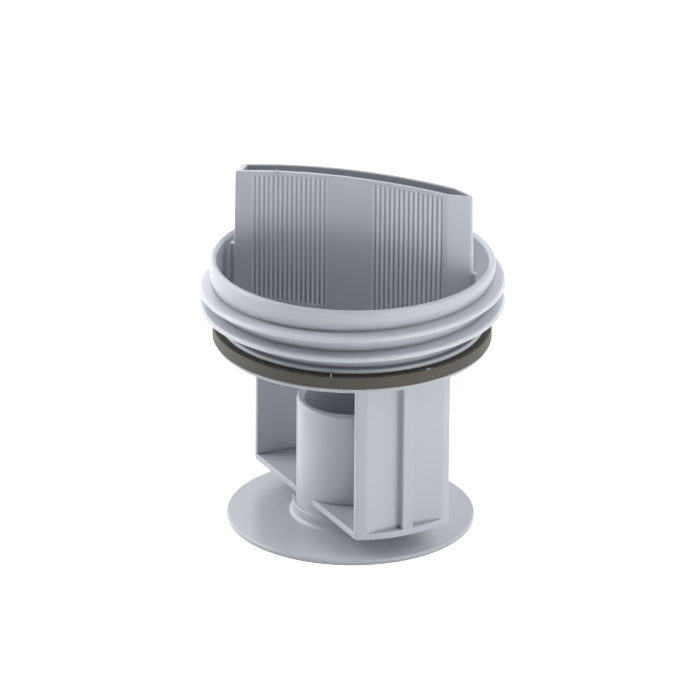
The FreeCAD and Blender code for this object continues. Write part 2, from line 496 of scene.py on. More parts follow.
def outline(corners: Sequence[Corner]) -> list[Vector]:
    """A closed outline with each of its corners rounded.

    Args:
        corners: The corners in order.

    Returns:
        The outline's points.
    """
    points: list[Vector] = []
    for i, corner in enumerate(corners):
        before = corners[i - 1].place
        after = corners[(i + 1) % len(corners)].place
        points += arc_points(before, corner.place, after, corner.rounding)
    return points


def rectangle(left: float, right: float, half_width: float, rounding: float = 0.0) -> list[Vector]:
    """A rectangle that lies along X.

    Args:
        left: Its lower end on X.
        right: Its upper end on X.
        half_width: Half its width, on both sides of X.
        rounding: Radius of its corners.

    Returns:
        Its outline, anticlockwise.
    """
    corners = ((left, -half_width), (right, -half_width), (right, half_width), (left, half_width))
    return outline([Corner(x, y, rounding) for x, y in corners])


def split_runs(points: Sequence[Vector], spacing: float) -> list[Vector]:
    """Adds points to an outline's long runs.

    Args:
        points: The closed outline.
        spacing: The longest run that stays whole.

    Returns:
        The outline with more points.
    """
    result: list[Vector] = []
    for i, point in enumerate(points):
        after = points[(i + 1) % len(points)]
        parts = max(1, math.ceil((after - point).length / spacing))
        result += [point.lerp(after, k / parts) for k in range(parts)]
    return result


def lathe(name: str, profile: Sequence[Vector]) -> bpy.types.Object:
    """Turns a closed profile of (radius, height) points round the axis.

    Args:
        name: Name of the object.
        profile: The profile; points on the axis become one vertex each.

    Returns:
        The closed solid.
    """
    work = bmesh.new()
    rings = []
    for radius, height in profile:
        if radius < TINY:
            rings.append([work.verts.new((0, 0, height))] * TURN_STEPS)
            continue
        ring = []
        for k in range(TURN_STEPS):
            angle = 2 * math.pi * k / TURN_STEPS
            ring.append(work.verts.new((radius * math.cos(angle), radius * math.sin(angle), height)))
        rings.append(ring)
    for i, ring in enumerate(rings):
        after = rings[(i + 1) % len(rings)]
        for k in range(TURN_STEPS):
            n = (k + 1) % TURN_STEPS
            corners = list(dict.fromkeys((ring[k], ring[n], after[n], after[k])))
            if len(corners) > 2:
                work.faces.new(corners)
    return from_bmesh(name, work)


def stacked(name: str, loops: Sequence[Sequence[Vector]]) -> bpy.types.Object:
    """Skins a stack of loops of equal length and closes its two ends.

    Args:
        name: Name of the object.
        loops: The loops, from the first end to the last.

    Returns:
        The closed solid.
    """
    work = bmesh.new()
    rings = [[work.verts.new(point) for point in loop] for loop in loops]
    for low, high in zip(rings, rings[1:]):
        for k, corner in enumerate(low):
            n = (k + 1) % len(low)
            work.faces.new((corner, low[n], high[n], high[k]))
    work.faces.new(rings[0])
    work.faces.new(rings[-1])
    return from_bmesh(name, work)


def inset_outline(points: Sequence[Vector], inset: float) -> list[Vector]:
    """Moves a closed outline inwards, given that it runs anticlockwise.

    Args:
        points: The outline.
        inset: How far it moves.

    Returns:
        The moved outline, with as many points.
    """
    moved = []
    for i, point in enumerate(points):
        before = (point - points[i - 1]).normalized()
        after = (points[(i + 1) % len(points)] - point).normalized()
        normal = Vector((-before.y - after.y, before.x + after.x)).normalized()
        stretch = normal.dot(Vector((-before.y, before.x)))
        moved.append(point + normal * (inset / max(stretch, SHARPEST_MITRE)))
    return moved


def quarter_turn(parts: int) -> list[float]:
    """The angles that split a quarter turn into equal parts, both ends included."""
    return [math.pi / 2 * k / parts for k in range(parts + 1)]


def prism(
    name: str, points: Sequence[Vector], low: float, high: float, rounding: float = 0.0,
) -> bpy.types.Object:
    """Raises a closed outline into a solid.

    Args:
        name: Name of the object.
        points: The outline, anticlockwise.
        low: Height of its underside.
        high: Height of its top.
        rounding: Radius of the rounding along both rims.

    Returns:
        The closed solid.
    """
    levels = [(0.0, low), (0.0, high)]
    if rounding > 0:
        foot = []
        for a in quarter_turn(RIM_PARTS):
            foot.append((rounding * (1 - math.sin(a)), low + rounding * (1 - math.cos(a))))
        levels = foot + [(inset, low + high - z) for inset, z in reversed(foot)]
    loops = []
    for inset, z in levels:
        loops.append([point.to_3d() + Vector((0, 0, z)) for point in inset_outline(points, inset)])
    return stacked(name, loops)


def to_metres(target: bpy.types.Object) -> None:
    """Brings a finished shape from millimetres to metres."""
    target.data.transform(Matrix.Scale(MM, 4))


def smooth(target: bpy.types.Object) -> None:
    """Shades a finished mesh smooth up to a sharp angle, with its broad faces kept flat.

    Args:
        target: The finished shape.
    """
    mesh = target.data
    mesh.shade_smooth()
    mesh.set_sharp_from_angle(angle=SHARP_ANGLE)
    modifier = target.modifiers.new("broad faces first", "WEIGHTED_NORMAL")
    modifier.keep_sharp = True
    modifier.weight = 100
    apply_modifiers(target)


def rotate(target: bpy.types.Object, angle: float) -> None:
    """Turns a shape's mesh about the filter's axis by an angle in degrees."""
    target.data.transform(Matrix.Rotation(math.radians(angle), 4, "Z"))


def direction(azimuth: float, elevation: float) -> Vector:
    """The way to a place on the sky.

    Args:
        azimuth: Degrees round from +X.
        elevation: Degrees up from the floor.

    Returns:
        A unit vector.
    """
    a = math.radians(azimuth)
    e = math.radians(elevation)
    return Vector((math.cos(a) * math.cos(e), math.sin(a) * math.cos(e), math.sin(e)))


def start_material(name: str) -> tuple[bpy.types.Material, Nodes, bpy.types.Node]:
    """Starts a material.

    Args:
        name: Its name.

    Returns:
        The material, its nodes and the shader that it starts with.
    """
    material = bpy.data.materials.new(name)
    material.use_nodes = True
    return material, Nodes(material.node_tree), material.node_tree.nodes["Principled BSDF"]


def off_nearest_groove(along: Value, centre: Value, pitch: Value | float, last: Value) -> Value:
    """How far a point of the grip lies from the middle of the nearest groove.

    Args:
        along: Place along the grip, 0 at its middle.
        centre: Where the middle of this half's grooves lies.
        pitch: Distance from groove to groove.
        last: Number of this half's last groove, counted from 0.

    Returns:
        The distance in pitches.
    """
    step = (along.maths("ABSOLUTE") - centre) / pitch + last * 0.5
    nearest = step.maths("ROUND").maths("MAXIMUM", 0.0).maths("MINIMUM", last)
    return (step - nearest).maths("ABSOLUTE")


@dataclass(frozen=True)
class Plastic:
    """The satin grey moulding plastic, with its lengths in millimetres.

    The colour is clouded a little. Shade is painted into it, darker in the creases, in the gap under the
    thread and in the grip's grooves, and a highlight is painted on the grooves' lands and the thread's
    crests.
    """

    name: str = "grey_plastic"
    colour: tuple[float, float, float] = (0.475, 0.5, 0.548)
    shade: tuple[float, float, float] = (0.455, 0.48, 0.528)
    cloud_scale: float = 55.0
    # Colour of the shade painted in creases and in the gap under the thread
    crease: tuple[float, float, float] = (0.2, 0.21, 0.235)
    # Painted shade in creases: ambient occlusion within this reach, where it starts and how fast it grows
    crease_reach: float = 1.2
    crease_start: float = 0.84
    crease_span: float = 0.66
    # Painted shade in the gap under the thread: ambient occlusion reach, start and growth, and the heights
    # and radius that bound it
    gap_reach: float = 5.0
    gap_start: float = 0.78
    gap_span: float = 0.4
    gap_low: float = 43.4
    gap_high: float = 47.6
    gap_r: float = 24.5
    # Colour of the shade painted in the bottoms of the grip's grooves
    valley_shade: tuple[float, float, float] = (0.28, 0.298, 0.33)
    # Colour of the highlight painted on the grip grooves' lands and the thread's crests
    land: tuple[float, float, float] = (0.6, 0.625, 0.675)
    half_groove: float = 0.5
    last_land: float = 0.55
    face_low: float = 1.95
    face_high: float = 2.75
    # Painted highlight on the thread's crests: it grows from this radius over this span up to this share
    crest_start: float = 29.7
    crest_span: float = 1.2
    crest_highlight: float = 0.6
    grip_low: float = 42.5
    grip_high: float = 76.2
    grip_r: float = 26.8
    roughness: float = 0.34
    flow_scale: float = 240.0
    flow_share: float = 0.06
    grain_scale: float = 5200.0
    grain_strength: float = 0.1
    grain_depth: float = 0.02
    edge_radius: float = 0.05
    refraction: float = 1.5

    def make(self) -> bpy.types.Material:
        """Builds the material.

        Returns:
            A procedural material on Object coordinates.
        """
        material, nodes, shader = start_material(self.name)
        place = nodes.out("ShaderNodeTexCoord", output="Object")
        height = nodes.parts(place)[2] / MM
        radius = nodes.length(nodes.flat(place)) / MM
        clouded = nodes.blend(nodes.noise(place, self.cloud_scale, 3.0), (*self.shade, 1), self.colour)
        # Painted shade: darker in creases off the grip and in the gap under the thread
        off_grip = 1 - (height > self.grip_low) * (radius < self.grip_r)
        crease = ((self.crease_start - nodes.openness(self.crease_reach)) / self.crease_span).clipped()
        shade_share = (crease * off_grip).maths("MAXIMUM", self._gap_shade(nodes, radius, height))
        crease_shaded = nodes.blend(shade_share, clouded, self.crease)
        # Painted shade in the grip grooves' bottoms and painted highlight on their lands
        valley_shade, land = self._grooves(nodes, place, height)
        sunk = nodes.blend(valley_shade, crease_shaded, self.valley_shade)
        # Painted highlight on the thread's crests
        crest = ((radius - self.crest_start) / self.crest_span).clipped() * self.crest_highlight
        nodes.feed(shader.inputs["Base Color"], nodes.blend(land.maths("MAXIMUM", crest), sunk, self.land))
        flow = nodes.noise(place, self.flow_scale, 2.0)
        nodes.feed(shader.inputs["Roughness"], self.roughness + (flow - 0.5) * self.flow_share)
        edges = {"Radius": self.edge_radius * MM}
        skin = nodes.out("ShaderNodeBump", {}, {
            "Height": nodes.noise(place, self.grain_scale, 2.0),
            "Strength": self.grain_strength,
            "Distance": self.grain_depth * MM,
            "Normal": nodes.out("ShaderNodeBevel", {"samples": BEVEL_SAMPLES}, edges),
        })
        nodes.feed(shader.inputs["Normal"], skin)
        nodes.feed(shader.inputs["IOR"], self.refraction)
        return material

    def _grooves(self, nodes: Nodes, place: bpy.types.NodeSocket, height: Value) -> tuple[Value, Value]:
        """Where a point lies across the grip's fine grooves, for the shade painted in their bottoms and the
        highlight on their lands.

        Args:
            nodes: The material's nodes.
            place: Object coordinates.
            height: Height of the point.

        Returns:
            1 in a groove's bottom, where shade is painted, and 1 on the land between two, where a highlight
            is painted; both 0 elsewhere.
        """
        turn = math.radians(Grip.angle)
        x, y = (part / MM for part in nodes.parts(place)[:2])
        along = x * math.cos(turn) + y * math.sin(turn)
        across = (y * math.cos(turn) - x * math.sin(turn)).maths("ABSOLUTE")
        on_right = along > 0.0
        left_last, right_last = (count - 1 for count in Grip.groove_counts)
        left_centre, right_centre = Grip.band_centres
        last = on_right * (right_last - left_last) + left_last
        centre = on_right * (right_centre - left_centre) + left_centre
        away = off_nearest_groove(along, centre, Grip.groove_pitch, last)
        drop = along * along * (Grip.top_drop / Grip.square_end ** 2) + Grip.band_top_margin
        on_face = (across > self.face_low) * (across < self.face_high)
        in_band = (height > Grip.band_bottom) * (height < self.grip_high - drop)
        inside = (away < self.last_land) * on_face * in_band
        valley_shade = (1 - away / self.half_groove).clipped()
        return valley_shade * inside, (1 - valley_shade) * inside

    def _gap_shade(self, nodes: Nodes, radius: Value, height: Value) -> Value:
        """How deep a point lies in the gap between the thread and the seal's lip, where shade is painted.

        Args:
            nodes: The material's nodes.
            radius: Distance of the point from the axis.
            height: Height of the point.

        Returns:
            0 in the open to 1 in the gap's depth.
        """
        inside = (height > self.gap_low) * (height < self.gap_high) * (radius > self.gap_r)
        return ((self.gap_start - nodes.openness(self.gap_reach)) / self.gap_span).clipped() * inside


@dataclass(frozen=True)
class Rubber:
    """The matt olive-brown rubber of the seal ring, with its lengths in millimetres."""

    name: str = "seal_rubber"
    colour: tuple[float, float, float] = (0.034, 0.034, 0.022)
    bloom: tuple[float, float, float] = (0.056, 0.047, 0.036)
    bloom_scale: float = 160.0
    roughness: float = 0.6
    bloom_roughness: float = 0.12
    grain_scale: float = 4200.0
    grain_strength: float = 0.25
    grain_depth: float = 0.03

    def make(self) -> bpy.types.Material:
        """Builds the material.

        Returns:
            A procedural material on Object coordinates.
        """
        material, nodes, shader = start_material(self.name)
        place = nodes.out("ShaderNodeTexCoord", output="Object")
        bloom = nodes.noise(place, self.bloom_scale, 4.0)
        nodes.feed(shader.inputs["Base Color"], nodes.blend(bloom, (*self.colour, 1), self.bloom))
        nodes.feed(shader.inputs["Roughness"], self.roughness + (bloom - 0.5) * self.bloom_roughness)
        skin = nodes.out("ShaderNodeBump", {}, {
            "Height": nodes.noise(place, self.grain_scale, 3.0),
            "Strength": self.grain_strength,
            "Distance": self.grain_depth * MM,
        })
        nodes.feed(shader.inputs["Normal"], skin)
        return material


@dataclass(frozen=True)
class PaleStage:
    """The white floor and backdrop, which show white and keep the object's shadow."""

    name: str = "pale_stage"
    colour: tuple[float, float, float] = (0.92, 0.92, 0.92)
    glow: float = 0.8

    def make(self) -> bpy.types.Material:
        """Builds the material.

        Returns:
            A diffuse floor that glows for the camera and for reflections only.
        """
        material, nodes, _ = start_material(self.name)
        nodes.tree.nodes.clear()
        matt = nodes.out("ShaderNodeBsdfDiffuse", {}, {"Color": (*self.colour, 1)})
        strength = nodes.seen_rays() * self.glow
        glow = nodes.out("ShaderNodeEmission", {}, {"Color": (1, 1, 1, 1), "Strength": strength})
        both = nodes.out("ShaderNodeAddShader", {}, {0: matt, 1: glow})
        nodes.add("ShaderNodeOutputMaterial", {"is_active_output": True}, {"Surface": both})
        return material


@dataclass(frozen=True)
class FilterSizes:
    """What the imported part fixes, read from its boxes and mounts, in millimetres."""

    crest_r: float
    grip_top: float
    bore_r: float
    seal_r: float
    seal_seat_r: float
    seal_low: float
    seal_high: float

    @classmethod
    def from_frame(cls, record: dict[str, Any]) -> "FilterSizes":
        """Reads the sizes.

        Args:
            record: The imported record.

        Returns:
            The sizes.
        """
        low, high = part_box("filter_body")
        seal_low, seal_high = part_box("seal_ring")
        seal_node = frame["nodes"]["seal_ring"].data
        mounts = {mount["name"]: mount for mount in record["mounts"]}
        return cls(
            crest_r=(high.x - low.x) / 2 / MM,
            grip_top=high.z / MM,
            bore_r=mounts["inlet_bore"]["dims"]["r_mm"],
            seal_r=mounts["seal_land"]["dims"]["r_mm"],
            seal_seat_r=min(v.co.xy.length for v in seal_node.vertices) / MM,
            seal_low=seal_low.z / MM,
            seal_high=seal_high.z / MM,
        )


@dataclass(frozen=True)
class FootAndTube:
    """The foot disc, the shoulder on it and the inlet tube."""

    bore_r: float
    disc_r: float = 25.8
    disc_thick: float = 1.1
    disc_top_round: float = 0.4
    disc_foot_round: float = 0.15
    tube_wall: float = 1.6
    tube_top: float = 27.0
    shoulder_r: float = 12.1
    shoulder_top: float = 3.8
    shoulder_round: float = 0.3
    root_round: float = 0.9
    small_round: float = 0.2

    @property
    def tube_r(self) -> float:
        """Outer radius of the tube."""
        return self.bore_r + self.tube_wall

    def build(self) -> bpy.types.Object:
        """Turns the disc, shoulder and tube as one solid with the bore right through.

        Returns:
            The solid.
        """
        rim = self.tube_wall / 2 - HAIR
        return lathe("foot_and_tube", outline([
            Corner(self.bore_r, 0, self.small_round),
            Corner(self.disc_r, 0, self.disc_foot_round),
            Corner(self.disc_r, self.disc_thick, self.disc_top_round),
            Corner(self.shoulder_r, self.disc_thick, self.root_round),
            Corner(self.shoulder_r, self.shoulder_top, self.shoulder_round),
            Corner(self.tube_r, self.shoulder_top, self.small_round),
            Corner(self.tube_r, self.tube_top, rim),
            Corner(self.bore_r, self.tube_top, rim),
        ]))


@dataclass(frozen=True)
class OpenFrame:
    """The floor strip that the tube carries, and the two end walls with their ribs."""

    radius: float = 25.5
    half_width: float = 10.8
    strip_low: float = 5.5
    strip_thick: float = 1.4
    strip_corner_round: float = 0.8
    strip_rim_round: float = 0.22
    flat_setback: float = 1.6
    flat_round: float = 2.0
    wall_thick: float = 2.0
    wall_edge_round: float = 0.4
    rib_width: float = 2.5
    rib_round: float = 0.35
    rib_root_round: float = 0.25
    arc_pieces: int = 24

    def _arc(self, start: Corner, end: Corner) -> list[Corner]:
        """Corners along the frame's circle between two of its points.

        Args:
            start: The first of the two.
            end: The second one.

        Returns:
            The corners, with both ends left out.
        """
        first = math.atan2(start.y, start.x)
        last = math.atan2(end.y, end.x)
        places = (first + (last - first) * k / self.arc_pieces for k in range(1, self.arc_pieces))
        return [Corner(self.radius * math.cos(a), self.radius * math.sin(a)) for a in places]

    def _on_circle(self, y: float, rounding: float = 0.0) -> Corner:
        """The corner where the frame's circle reaches a place across it."""
        return Corner(math.sqrt(self.radius ** 2 - y ** 2), y, rounding)

    def strip(self, hole_r: float) -> bpy.types.Object:
        """The floor strip.

        Args:
            hole_r: Radius of its hole, which lies inside the tube's wall.

        Returns:
            The strip.
        """
        low_end = self._on_circle(-self.half_width, self.strip_corner_round)
        high_end = self._on_circle(self.half_width, self.strip_corner_round)
        right = [low_end, *self._arc(low_end, high_end), high_end]
        left = [Corner(-c.x, -c.y, c.rounding) for c in right]
        top = self.strip_low + self.strip_thick
        made = prism("floor_strip", outline(right + left), self.strip_low, top, self.strip_rim_round)
        under = self.strip_low - REACH
        over = top + REACH
        hole = [Corner(0, under), Corner(hole_r, under), Corner(hole_r, over), Corner(0, over)]
        combine(made, lathe("strip_hole", outline(hole)), Join.CUT)
        return made

    def wall(self, high: float) -> bpy.types.Object:
        """The end wall on +X, rib included.

        Args:
            high: Height at which it ends inside the flange.

        Returns:
            The wall.
        """
        flat_x = self.radius - self.flat_setback
        flat_y = math.sqrt(self.radius ** 2 - flat_x ** 2)
        half = [
            self._on_circle(self.rib_width / 2, self.rib_round),
            Corner(flat_x, self.rib_width / 2, self.rib_root_round),
            Corner(flat_x, flat_y, self.flat_round),
            self._on_circle(self.half_width, self.wall_edge_round),
            Corner(flat_x - self.wall_thick, self.half_width, self.wall_edge_round),
        ]
        mirrored = [Corner(c.x, -c.y, c.rounding) for c in reversed(half)]
        return prism("end_wall", outline(half + mirrored), self.strip_low + self.strip_thick / 2, high)


@dataclass(frozen=True)
class Cup:
    """Flange, seal groove, lip, collar and the stepped cup, turned as one profile."""

    flange_low: float = 39.5
    flange_r: float = 28.2
    flange_thick: float = 0.9
    groove_r: float = 25.5
    seal_gap: float = 0.05
    lip_r: float = 27.3
    lip_thick: float = 1.0
    core_r: float = 25.9
    core_round: float = 0.5
    collar_low: float = 47.5
    collar_r: float = 29.35
    rim_top: float = 57.8
    rim_wall: float = 1.45
    step_thick: float = 1.4
    well_r: float = 23.9
    well_round: float = 1.0
    floor_thick: float = 1.7
    small_round: float = 0.2
    groove_round: float = 0.1
    lip_round: float = 0.65
    lip_root_round: float = 0.25
    step_round: float = 0.3
    row_height: float = 0.4

    @property
    def inner_r(self) -> float:
        """Radius of the cup's inside above its step."""
        return self.collar_r - self.rim_wall

    @property
    def step_top(self) -> float:
        """Height of the step inside the cup."""
        return self.collar_low + self.step_thick

    @property
    def floor_top(self) -> float:
        """Height of the cup's floor."""
        return self.flange_low + self.floor_thick

    def build(self, seal_high: float) -> bpy.types.Object:
        """Turns the cup.

        Args:
            seal_high: Top of the seal ring, under which its groove ends.

        Returns:
            The cup as a closed solid.
        """
        flange_top = self.flange_low + self.flange_thick
        lip_low = seal_high + self.seal_gap
        lip_top = lip_low + self.lip_thick
        rim = self.rim_wall / 2 - HAIR
        profile = outline([
            Corner(0, self.flange_low),
            Corner(self.flange_r, self.flange_low, self.small_round),
            Corner(self.flange_r, flange_top, self.small_round),
            Corner(self.groove_r, flange_top, self.groove_round),
            Corner(self.groove_r, lip_low, self.groove_round),
            Corner(self.lip_r, lip_low, self.small_round),
            Corner(self.lip_r, lip_top, self.lip_round),
            Corner(self.core_r, lip_top, self.lip_root_round),
            Corner(self.core_r, self.collar_low, self.core_round),
            Corner(self.collar_r, self.collar_low, self.small_round),
            Corner(self.collar_r, self.rim_top, rim),
            Corner(self.inner_r, self.rim_top, rim),
            Corner(self.inner_r, self.step_top, self.step_round),
            Corner(self.well_r, self.step_top, self.small_round),
            Corner(self.well_r, self.floor_top, self.well_round),
            Corner(0, self.floor_top),
        ])
        return lathe("cup", self._fine_rows(profile))

    def _fine_rows(self, profile: Sequence[Vector]) -> list[Vector]:
        """Splits the collar's outside into short rows, so that the thread's foot shades cleanly.

        Args:
            profile: The cup's closed profile.

        Returns:
            The profile with more points.
        """
        result: list[Vector] = []
        for i, point in enumerate(profile):
            after = profile[(i + 1) % len(profile)]
            on_collar = abs(point.x - self.collar_r) < TINY and abs(after.x - self.collar_r) < TINY
            parts = math.ceil((after - point).length / self.row_height) if on_collar else 1
            result += [point.lerp(after, k / parts) for k in range(parts)]
        return result


@dataclass(frozen=True)
class Thread:
    """The coarse right-hand ridge with the hollow neck above it, level where it starts."""

    crest_r: float
    collar_r: float
    low: float
    lead: float = 4.3
    land: float = 0.85
    undercut: float = 0.12
    root_depth: float = 1.0
    crest_round: float = 0.16
    shoulder_round: float = 0.75
    flank_parts: int = 6
    neck_depth: float = 0.74
    neck_height: float = 1.45
    neck_overlap: float = 0.1
    hollow_height: float = 3.9
    hollow_bend: float = 1.8
    hollow_parts: int = 16
    hollow_lip: float = 0.03
    hollow_foot: float = 0.5
    hollow_slope: float = 0.1
    hollow_reach: float = 0.4
    least_size: float = 0.02
    rise_angle: float = -31.7
    level_run: float = 140.0
    run: float = 515.0
    fade: float = 40.0
    ease: float = 14.0

    def _curve(self, name: str, points: Sequence[Vector]) -> bpy.types.Object:
        """A closed section whose x leads out from the collar and whose y leads up.

        Args:
            name: Name of the curve.
            points: Its corners.

        Returns:
            The curve, with -y up, as the sweep wants it.
        """
        curve = bpy.data.curves.new(name, "CURVE")
        curve.dimensions = "3D"
        spline = curve.splines.new("POLY")
        spline.points.add(len(points) - 1)
        for slot, point in zip(spline.points, points):
            slot.co = (point.x, -point.y, 0, 1)
        spline.use_cyclic_u = True
        return new_object(name, curve)

    def _ridge_section(self) -> bpy.types.Object:
        """The ridge: steep side down, a rounded land at the crest and a flank down to the neck.

        Returns:
            Its section.
        """
        height = self.crest_r - self.collar_r
        foot = Vector((-self.root_depth, self.undercut))
        crest_low = Vector((height, 0))
        crest_high = Vector((height, self.land))
        neck_high = self.neck_height - self.neck_overlap
        neck = Vector((-self.neck_depth, neck_high))
        points = [foot]
        points += arc_points(foot, crest_low, crest_high, self.crest_round)
        points += arc_points(crest_low, crest_high, neck, self.shoulder_round)
        flank_top = points[-1]
        points += [flank_top.lerp(neck, k / self.flank_parts) for k in range(1, self.flank_parts + 1)]
        points.append(Vector((-self.root_depth, neck_high)))
        return self._curve("ridge_section", points)

    def _hollow_section(self) -> bpy.types.Object:
        """The hollow that the wall bends into above the ridge, deepest at the neck.

        Returns:
            Its section.
        """
        points = []
        for k in range(self.hollow_parts + 1):
            share = k / self.hollow_parts
            out = self.hollow_lip - (self.neck_depth + self.hollow_lip) * share ** self.hollow_bend
            high = self.hollow_height + (self.neck_height - self.hollow_height) * share
            points.append(Vector((out, high)))
        foot = self.neck_height - self.hollow_foot
        points.append(Vector((-self.neck_depth, foot)))
        points.append(Vector((self.hollow_reach, foot - self.hollow_slope)))
        points.append(Vector((self.hollow_reach, self.hollow_height)))
        return self._curve("hollow_section", points)

    def ridge(self, material: bpy.types.Material) -> bpy.types.Object:
        """The ridge as a closed solid."""
        return self._sweep("thread_ridge", self._ridge_section(), material)

    def hollow(self, material: bpy.types.Material) -> bpy.types.Object:
        """The solid that is cut from the collar's wall above the ridge."""
        return self._sweep("thread_hollow", self._hollow_section(), material)

    def _sweep(self, name: str, section: bpy.types.Object, material: bpy.types.Material) -> bpy.types.Object:
        """Sweeps a section with Geometry Nodes, level at first and then along the helix.

        Args:
            name: Name of the result.
            section: The closed curve, which is used up.
            material: What the result wears.

        Returns:
            The closed solid, which thins out at both ends.
        """
        recipe = Recipe("thread_helix")
        nodes = recipe.nodes
        shape = recipe.ask("Section", section, "NodeSocketObject")
        radius = recipe.ask("Collar Radius", self.collar_r)
        lead = recipe.ask("Lead", self.lead)
        count = recipe.ask("Turns", (self.level_run + self.run) / 360)
        level = recipe.ask("Level Turns", self.level_run / 360)
        ease = recipe.ask("Ease Turns", self.ease / 360)
        start = recipe.ask("Start Angle", math.radians(self.rise_angle - self.level_run))
        low = recipe.ask("Low", self.low)
        fade = recipe.ask("Fade Turns", self.fade / 360)
        ring = nodes.out("GeometryNodeCurveSpiral", {}, {
            "Resolution": TURN_STEPS, "Rotations": count, "Start Radius": radius, "End Radius": radius,
            "Height": 0.0, "Reverse": True})
        turned = nodes.value("GeometryNodeSplineParameter", output="Factor") * count
        rise = (turned - level).maths("SMOOTH_MAX", 0.0, ease) * lead
        helix = recipe.moved(ring, nodes.vector(z=rise))
        upright = nodes.out("GeometryNodeSetCurveNormal", {"mode": "Z_UP"}, {"Curve": helix})
        nearest_end = turned.maths("MINIMUM", count - turned)
        growth = ((nearest_end / fade).clipped() * (math.pi / 2)).maths("SINE")
        size = growth.maths("MAXIMUM", self.least_size)
        drawn = nodes.out("GeometryNodeObjectInfo", {}, {"Object": shape}, "Geometry")
        swept = nodes.out("GeometryNodeCurveToMesh", {}, {
            "Curve": upright, "Profile Curve": drawn, "Scale": size, "Fill Caps": True})
        outwards = nodes.out("GeometryNodeFlipFaces", {}, {"Mesh": swept})
        placed = nodes.out("GeometryNodeTransform", {}, {
            "Geometry": outwards, "Translation": nodes.vector(z=low), "Rotation": nodes.vector(z=start)})
        recipe.end(placed, material)
        made = new_object(name)
        recipe.run(made)
        bpy.data.objects.remove(section)
        return made


